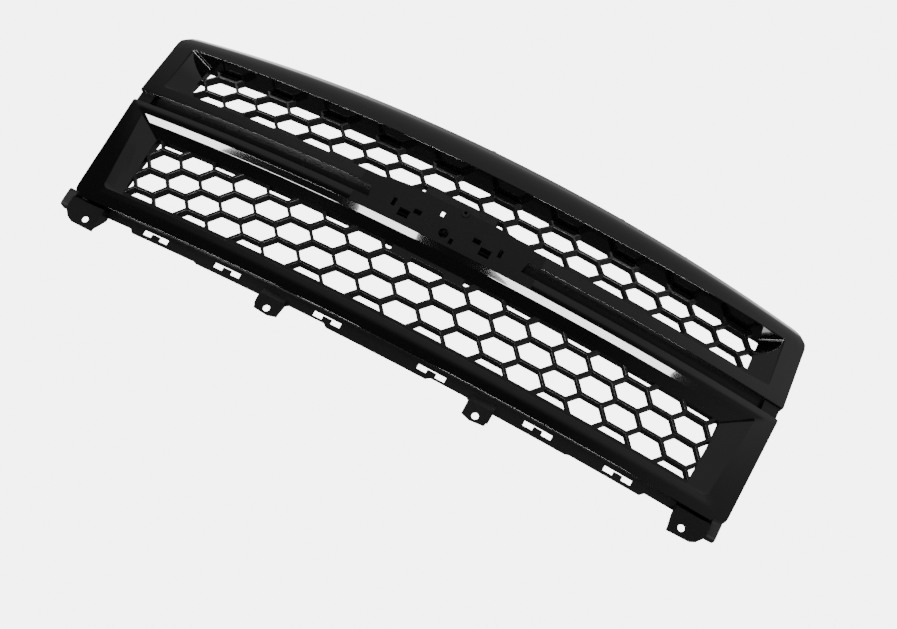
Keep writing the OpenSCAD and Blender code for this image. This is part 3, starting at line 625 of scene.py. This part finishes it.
def finish_bmesh(bm, name, slot, recalc=True):
    """Turns a bmesh in millimetres into a piece with its material and smooth shading."""
    if recalc:
        bmesh.ops.recalc_face_normals(bm, faces=bm.faces)
    for v in bm.verts:
        v.co = v.co * MM
    mesh = bpy.data.meshes.new(name)
    bm.to_mesh(mesh)
    bm.free()
    obj = placed(name, mesh)
    mesh.materials.clear()
    mesh.materials.append(FINISHES[slot])
    for poly in mesh.polygons:
        poly.use_smooth = True
        poly.material_index = 0
    mesh.set_sharp_from_angle(angle=math.radians(32))
    add(obj, "WEIGHTED_NORMAL", keep_sharp=True, weight=70)
    return obj


def add_ear(bm, x, c, z, rim_z):
    """Screw ear on the bow at station x, reaching from its hole to the rim."""
    up = 1 if rim_z > z else -1
    far = abs(rim_z - z)
    line = [(EAR_R * math.cos(a), -up * EAR_R * math.sin(a)) for a in [math.pi * k / 10 for k in range(11)]]
    line += [(-EAR_R, up * far), (EAR_R, up * far)]
    hole = [(EAR_HOLE_R * math.cos(TAU * k / 20), EAR_HOLE_R * math.sin(TAU * k / 20)) for k in range(20)]
    plate = plate_from_outlines("ear", [line, hole], EAR_T, 0.4)
    rot = Matrix.Rotation(math.asin(x / BOW_R), 4, "Z")
    for v in plate.verts:
        p = rot @ Vector((v.co.x, c + EAR_T / 2 + v.co.y - BOW_R, v.co.z + z))
        v.co = p + Vector((0, AXIS_Y, 0))
    tmp = bpy.data.meshes.new("ear_tmp")
    plate.to_mesh(tmp)
    plate.free()
    bm.from_mesh(tmp)
    bpy.data.meshes.remove(tmp)


def mesh_outline(half_x, low_v, high_v):
    """Outline of a mesh in the pattern, between two level lines."""
    xs = [-half_x + 2 * half_x * k / 44 for k in range(45)]
    return [(x, low_v + level_rise(x)) for x in xs] + [(x, high_v + level_rise(x)) for x in reversed(xs)]


def build_mesh(name, outline, cells, z0, c0, lean_c, ears, bosses=()):
    bm = plate_from_outlines(name, [outline] + cells, MESH_D, 0.9, MESH_STEP)
    for v in bm.verts:
        v.co = drawn_point(v.co.x, v.co.z, v.co.y, z0, c0, lean_c)
    for ear in ears:
        add_ear(bm, *ear)
    for boss in bosses:
        boss_mesh(bm, *boss)
    return finish_bmesh(bm, name, "satin_black")


def build_lower_mesh():
    cells = honeycomb(CELL_DZ, 3, 0, -54, 51.5, 479, (43.5, 1))
    outline = mesh_outline(484, -66, 64)
    head = low_c(LOW_RIM[1]) - MESH_D / 2
    sill = low_c(LOW_RIM[0]) - MESH_D / 2
    ears = [(x, head, LOW_HEAD_Z, LOW_RIM[1] - 2) for x in LOW_HEAD_X]
    ears += [(x, sill, LOW_SILL_Z, LOW_RIM[0] + 1) for x in LOW_SILL_X]
    bosses = [(Vector((x, bow_y(x, RAIL_SCREW_C), RAIL_BOSS_Z)), DOWN, RAIL_BOSS_L, MESH_BOSS_R)
              for x in RAIL_X]
    return build_mesh("lower_honeycomb", outline, cells, LOW_Z, 0, low_c, ears, bosses)


def build_upper_mesh():
    pitch = CELL_DZ * math.cos(UP_LEAN - DRAW_TILT)
    cells = honeycomb(pitch, 2, 1, -40, 27, 487, (-19.5, -1))
    outline = mesh_outline(492, -43, 33)
    head = up_c(UP_RIM[1]) - MESH_D / 2
    sill = up_c(UP_RIM[0]) - MESH_D / 2
    ears = [(x, head, UP_HEAD_Z, UP_RIM[1] - 2) for x in UP_HEAD_X]
    ears += [(x, sill, UP_SILL_Z, UP_RIM[0] + 1) for x in UP_SILL_X]
    return build_mesh("upper_honeycomb", outline, cells, UP_Z, UP_BACK, up_c, ears)


# ---- Pieces -----------------------------------------------------------------

PIECES = [
    (build_lower_surround(), "lower_surround"),
    (build_upper_surround(), "upper_surround"),
    (build_lower_mesh(), "lower_mesh"),
    (build_upper_mesh(), "upper_mesh"),
]
for piece, cad in PIECES:
    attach(piece, "root")
    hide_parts(cad)

# Carried nodes keep their shape and get a fine bevel, in millimetres
SLOTS = {s["node"]: s["material_slot"] for s in frame["record"]["subparts"]}
BEVELS = {"center_bar": 0.7, "left_locating_block": 0.8, "right_locating_block": 0.8}
BEVELS.update(dict.fromkeys(("bottom_rail", "top_rail", "badge_plate", "left_end_bracket",
                             "right_end_bracket", "left_channel_cap", "right_channel_cap"), 0.6))
FASTENER_BEVEL = 0.25
REPLACED = {cad for _, cad in PIECES}
for name, obj in frame["nodes"].items():
    if name in REPLACED:
        continue
    obj.data.materials.clear()
    obj.data.materials.append(FINISHES[SLOTS[name]])
    add(obj, "BEVEL", width=BEVELS.get(name, FASTENER_BEVEL) * MM, segments=2, limit_method="ANGLE",
        angle_limit=math.radians(35), harden_normals=False, miter_outer="MITER_ARC")
    add(obj, "WEIGHTED_NORMAL", keep_sharp=False, weight=80)

# ---- Stage, light and camera ------------------------------------------------

def area_light(name, where, aim, size, size_y, power, glossy=True):
    """Unseen light that shows either in reflections only or in diffuse light only."""
    data = bpy.data.lights.new(name, "AREA")
    data.shape = "RECTANGLE"
    data.size, data.size_y, data.energy = size, size_y, power
    obj = placed(name, data)
    obj.location = where
    obj.rotation_euler = (Vector(aim) - Vector(where)).to_track_quat("-Z", "Y").to_euler()
    obj.visible_camera = False
    obj.visible_glossy = glossy
    obj.visible_diffuse = not glossy


def build_floor():
    bm = bmesh.new()
    bmesh.ops.create_grid(bm, x_segments=8, y_segments=8, size=3.0)
    mesh = bpy.data.meshes.new("floor")
    bm.to_mesh(mesh)
    bm.free()
    floor = placed("floor", mesh)
    floor.location = (0, -1.5, -0.95)
    mesh.materials.append(material("pale_floor", (0.80, 0.80, 0.80), 0.7, 0.02, 0, 1, color_var=0.01))
    floor.visible_glossy = False


def build_world():
    """Even white backdrop for the camera; the parts are lit and reflect a graded studio."""
    world = bpy.data.worlds.new("studio")
    bpy.context.scene.world = world
    world.use_nodes = True
    tree = world.node_tree
    tree.nodes.clear()
    link = tree.links.new
    out = node(tree, "ShaderNodeOutputWorld")
    path = node(tree, "ShaderNodeLightPath")
    mix = node(tree, "ShaderNodeMixShader")
    seen = node(tree, "ShaderNodeBackground", {"Color": (1, 1, 1, 1), "Strength": 5.8})
    lit = node(tree, "ShaderNodeBackground")
    coord = node(tree, "ShaderNodeTexCoord")
    split = node(tree, "ShaderNodeSeparateXYZ")
    link(coord.outputs["Generated"], split.inputs[0])

    def ramp(axis, lo, hi, v0, v1):
        n = node(tree, "ShaderNodeMapRange", {"From Min": lo, "From Max": hi, "To Min": v0, "To Max": v1},
                 interpolation_type="SMOOTHSTEP")
        link(split.outputs[axis], n.inputs["Value"])
        return n.outputs[0]

    def combine(kind, p, q):
        n = node(tree, "ShaderNodeMath", operation=kind)
        link(p, n.inputs[0])
        link(q, n.inputs[1])
        return n.outputs[0]

    behind = combine("MULTIPLY", ramp("Y", 0.3, 0.9, 0.0, 2.6), ramp("Z", 0.3, 0.7, 0.0, 1.0))
    ends = combine("ADD", ramp("X", -0.45, -0.2, 1.0, 0.15), ramp("X", 0.05, 0.4, 0.0, 1.0))
    front = combine("ADD", ramp("Z", 0.32, 0.45, 0.05, 0.36), ramp("X", 0.2, 0.7, 0.0, 0.2))
    link(combine("ADD", combine("MULTIPLY", behind, ends), front), lit.inputs["Strength"])
    link(path.outputs["Is Camera Ray"], mix.inputs[0])
    link(lit.outputs[0], mix.inputs[1])
    link(seen.outputs[0], mix.inputs[2])
    link(mix.outputs[0], out.inputs[0])


STRIP_SPANS = ((-2.5, -0.89), (-0.74, -0.40), (0.02, 1.1))
STRIP_H = 0.22
STRIP_RADIANCE = 32


def build_lights():
    """Soft light from above, and three low strips that draw the white bands under the edges."""
    area_light("overhead", (-0.4, -1.0, 2.6), (0, 0, 0.2), 2.4, 1.2, 40, glossy=False)
    for x0, x1 in STRIP_SPANS:
        mid, wide = (x0 + x1) / 2, x1 - x0
        area_light("low_strip", (mid, -1.3, -0.78), (mid * 0.25, 0, 0.2), wide, STRIP_H,
                   STRIP_RADIANCE * math.pi * wide * STRIP_H)


def build_camera():
    data = bpy.data.cameras.new("camera")
    data.sensor_fit = "HORIZONTAL"
    data.sensor_width = 36.0
    data.lens = 48.16054
    data.clip_start, data.clip_end = 0.05, 50
    cam = placed("camera", data)
    right = Vector((0.8844, -0.0091, 0.4667)).normalized()
    forward = Vector((-0.1306, 0.9551, 0.2661))
    forward = (forward - right * forward.dot(right)).normalized()
    up = right.cross(forward)
    m = Matrix((right, up, -forward)).transposed().to_4x4()
    m.translation = (0.2883, -1.6253, -0.3404)
    cam.matrix_world = m
    bpy.context.scene.camera = cam


build_floor()
build_world()
build_lights()
build_camera()
